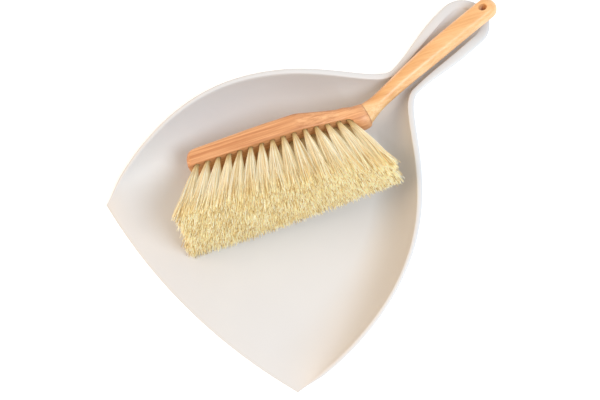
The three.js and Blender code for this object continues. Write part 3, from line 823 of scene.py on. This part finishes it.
def pan_material():
    material, tree, shader = new_material("pan_satin")
    coords = object_coords(tree)
    broad = noise(tree, coords, 9.0, 3.0)
    colour = ramp(tree, ((0.3, (0.645, 0.645, 0.65)), (0.7, (0.67, 0.67, 0.67))), broad)
    tree.links.new(colour, shader.inputs["Base Color"])
    fine = noise(tree, coords, 2600.0, 2.0)
    wear = noise(tree, coords, 45.0, 5.0)
    rough = ramp(tree, ((0.3, (0.36, 0.36, 0.36)), (0.75, (0.46, 0.46, 0.46))), wear)
    tree.links.new(rough, shader.inputs["Roughness"])
    shader.inputs["IOR"].default_value = 1.46
    bump(tree, shader, fine, 0.08, 0.00005)
    return material


def wood_material(name, light, middle, dark, streak, roughness, coat):
    """Fine straight grain along X, with pores and slow changes of tone."""
    material, tree, shader = new_material(name)
    coords = brush_coords(tree)
    long_grain = scaled(tree, coords, (7.0, 95.0, 95.0))
    wavy = noise(tree, long_grain, 1.0, 5.0, 0.6, 0.1)
    lines = noise(tree, scaled(tree, coords, (14.0, 620.0, 620.0)), 1.0, 6.0, 0.6, 0.15)
    pores = noise(tree, scaled(tree, coords, (130.0, 2100.0, 2100.0)), 1.0, 2.0, 0.5)
    slow = noise(tree, scaled(tree, coords, (5.0, 22.0, 22.0)), 1.0, 2.0)
    tone = ramp(tree, ((0.32, dark), (0.5, middle), (0.68, light)), wavy)
    streaks = ramp(tree, ((0.38, (0, 0, 0)), (0.62, (1, 1, 1))), lines)
    grained = mix_colour(tree, streaks, tone, streak, "MULTIPLY")
    patched = mix_colour(
        tree, ramp(tree, ((0.35, (0.45, 0.45, 0.45)), (0.65, (0, 0, 0))), slow), grained, middle
    )
    porous = mix_colour(
        tree, ramp(tree, ((0.30, (0.55, 0.55, 0.55)), (0.40, (0, 0, 0))), pores), patched, dark
    )
    tree.links.new(porous, shader.inputs["Base Color"])
    rough = ramp(
        tree, ((0.3, (roughness + 0.1,) * 3), (0.7, (roughness - 0.06,) * 3)), lines
    )
    tree.links.new(rough, shader.inputs["Roughness"])
    shader.inputs["Coat Weight"].default_value = coat
    shader.inputs["Coat Roughness"].default_value = 0.3
    bump(tree, shader, lines, 0.18, 0.0002)
    return material


def bristle_material():
    material, tree, shader = new_material("bristle_fibre")
    data = tree.nodes.new("ShaderNodeAttribute")
    data.attribute_name = "fibre"
    split = tree.nodes.new("ShaderNodeSeparateColor")
    tree.links.new(data.outputs["Color"], split.inputs["Color"])
    along, tone, dark = split.outputs["Red"], split.outputs["Green"], split.outputs["Blue"]
    side = ramp(tree, ((0.0, (0.76, 0.59, 0.30)), (0.2, (0.90, 0.78, 0.50)), (0.6, (0.95, 0.88, 0.66)),
                       (1.0, (0.99, 0.95, 0.80))), tone)
    end = ramp(tree, ((0.0, (0.42, 0.25, 0.06)), (0.24, (0.84, 0.62, 0.26)), (0.5, (0.98, 0.86, 0.46)),
                      (1.0, (1.0, 0.97, 0.76))), tone)
    nearing = ramp(tree, ((0.55, (0, 0, 0)), (0.98, (1, 1, 1))), along)
    colour = mix_colour(tree, nearing, side, end)
    # painted shade: the fibres darken towards their roots, standing in for the shade among the tufts next
    # to the block
    painted_root_shade = ramp(tree, ((0.0, (0.50, 0.38, 0.22)), (0.07, (0.78, 0.68, 0.50)), (0.24, (1, 1, 1))), along)
    colour = mix_colour(tree, 1.0, colour, painted_root_shade, "MULTIPLY")
    spots = ramp(tree, ((0.0, (0.72, 0.56, 0.34)), (0.07, (1, 1, 1))), dark)
    colour = mix_colour(tree, 1.0, colour, spots, "MULTIPLY")
    tree.links.new(colour, shader.inputs["Base Color"])
    fine = noise(tree, object_coords(tree), 900.0, 2.0)
    rough = ramp(tree, ((0.3, (0.5, 0.5, 0.5)), (0.7, (0.62, 0.62, 0.62))), fine)
    tree.links.new(rough, shader.inputs["Roughness"])
    # painted light: the fibres glow faintly in their own colour, standing in for light passing through and
    # between them
    tree.links.new(colour, shader.inputs["Emission Color"])
    shader.inputs["Emission Strength"].default_value = 0.12
    return material


def steel_material():
    material, tree, shader = new_material("staple_wire")
    coords = object_coords(tree)
    drawn = noise(tree, scaled(tree, coords, (3000.0, 200.0, 200.0)), 1.0, 3.0)
    tree.links.new(ramp(tree, ((0.3, (0.5, 0.5, 0.5)), (0.7, (0.68, 0.68, 0.68))), drawn),
                   shader.inputs["Base Color"])
    tree.links.new(ramp(tree, ((0.3, (0.3, 0.3, 0.3)), (0.7, (0.42, 0.42, 0.42))), drawn),
                   shader.inputs["Roughness"])
    shader.inputs["Metallic"].default_value = 1.0
    return material


def floor_material():
    material, tree, shader = new_material("studio_floor")
    broad = noise(tree, object_coords(tree), 1.2, 2.0)
    tree.links.new(ramp(tree, ((0.3, (0.90, 0.90, 0.90)), (0.7, (0.93, 0.93, 0.93))), broad),
                   shader.inputs["Base Color"])
    shader.inputs["Roughness"].default_value = 0.9
    shader.inputs["Emission Color"].default_value = (1, 1, 1, 1)
    shader.inputs["Emission Strength"].default_value = 0.3
    return material


# ---- camera, floor and light ----
FLOOR_GAP = 0.05  # the floor lies this far below the pan


def add_camera():
    """Looks down on the set from its lip's right, 1.14 m away; aimed at the middle of the picture."""
    place = Vector((219.6, -188.6, 1125.5)) * MM
    target = Vector((5.7, -7.2, 20.0)) * MM
    back = (place - target).normalized()
    right = Vector((0.7211, 0.6928, 0.0))
    right = (right - back * right.dot(back)).normalized()
    up = back.cross(right)
    data = bpy.data.cameras.new("camera")
    data.sensor_width = 36.0
    data.lens = 76.5
    data.clip_start = 0.01
    data.clip_end = 50.0
    camera = bpy.data.objects.new("camera", data)
    bpy.context.scene.collection.objects.link(camera)
    turn = Matrix((right, up, back)).transposed()
    camera.matrix_world = Matrix.Translation(place) @ turn.to_4x4()
    bpy.context.scene.camera = camera


def add_area(name, direction, distance, size, power, colour):
    data = bpy.data.lights.new(name, "AREA")
    data.shape = "DISK"
    data.size = size
    data.energy = power
    data.color = colour
    lamp = bpy.data.objects.new(name, data)
    bpy.context.scene.collection.objects.link(lamp)
    away = Vector(direction).normalized()
    lamp.location = Vector((0, 0.03, 0.02)) + away * distance
    lamp.rotation_euler = away.to_track_quat("Z", "Y").to_euler()


def add_studio():
    scene = bpy.context.scene
    scene.view_settings.view_transform = "Standard"
    scene.view_settings.look = "None"
    scene.view_settings.exposure = 0.0
    world = bpy.data.worlds.new("studio")
    world.use_nodes = True
    tree = world.node_tree
    background = next(n for n in tree.nodes if n.type == "BACKGROUND")
    facing = tree.nodes.new("ShaderNodeVectorMath")
    facing.operation = "DOT_PRODUCT"
    facing.inputs[1].default_value = (0.36, 0.345, 0.26)  # bright towards the lip's right, warm behind
    tree.links.new(tree.nodes.new("ShaderNodeTexCoord").outputs["Generated"], facing.inputs[0])
    shifted = tree.nodes.new("ShaderNodeMath")
    shifted.operation = "ADD"
    shifted.inputs[1].default_value = 0.5
    tree.links.new(facing.outputs["Value"], shifted.inputs[0])
    sky = ramp(tree, ((0.0, (1.0, 0.54, 0.22)), (0.4, (1.0, 0.75, 0.50)), (0.64, (0.86, 0.90, 0.96)),
                      (1.0, (0.82, 0.92, 1.0))), shifted.outputs["Value"])
    tree.links.new(sky, background.inputs["Color"])
    background.inputs["Strength"].default_value = 0.84
    scene.world = world
    add_area("key", (0.87, 0.17, 1.3), 2.2, 1.1, 25.0, (0.88, 0.94, 1.0))
    add_area("fill", (-0.8, -0.7, 1.1), 2.4, 1.6, 18.0, (1.0, 0.76, 0.52))

    steps = 24
    size = 9000.0
    points = []
    faces = []
    for j in range(steps + 1):
        for k in range(steps + 1):
            points.append((size * (k / steps - 0.5), size * (j / steps - 0.5), -FLOOR_GAP))
    for j in range(steps):
        for k in range(steps):
            a = j * (steps + 1) + k
            faces.append((a, a + 1, a + steps + 2, a + steps + 1))
    floor = new_mesh("studio_floor", points, faces)
    floor.data.materials.append(floor_material())


# ---- assembly ----
add_camera()
add_studio()

plans = tuft_plans()
pan = make_dustpan(pan_material())
pan_tree = BVHTree.FromPolygons(
    [vertex.co for vertex in pan.data.vertices], [list(face.vertices) for face in pan.data.polygons]
)
block_wood = wood_material(
    "block_wood", (0.90, 0.54, 0.28), (0.78, 0.41, 0.195), (0.54, 0.25, 0.11),
    (0.70, 0.56, 0.48), 0.42, 0.12,
)
make_block(plans, block_wood)
handle_wood = wood_material(
    "handle_wood", (0.93, 0.65, 0.36), (0.86, 0.51, 0.23), (0.70, 0.35, 0.12),
    (0.88, 0.78, 0.68), 0.32, 0.35,
)
make_handle(handle_wood)
dowel_wood = wood_material(
    "dowel_wood", (0.78, 0.58, 0.36), (0.70, 0.50, 0.29), (0.58, 0.38, 0.2),
    (0.86, 0.8, 0.74), 0.6, 0.0,
)
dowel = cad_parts["handle_dowel"]
dowel.data.materials.clear()
dowel.data.materials.append(dowel_wood)

fibres = bristle_material()
for number, (name, plan) in enumerate(plans.items()):
    rng = np.random.default_rng(SEED + number)
    make_tuft(name.replace("tuft_", "fibres_"), plan, fibres, rng, pan_tree)
make_staples(plans, steel_material())
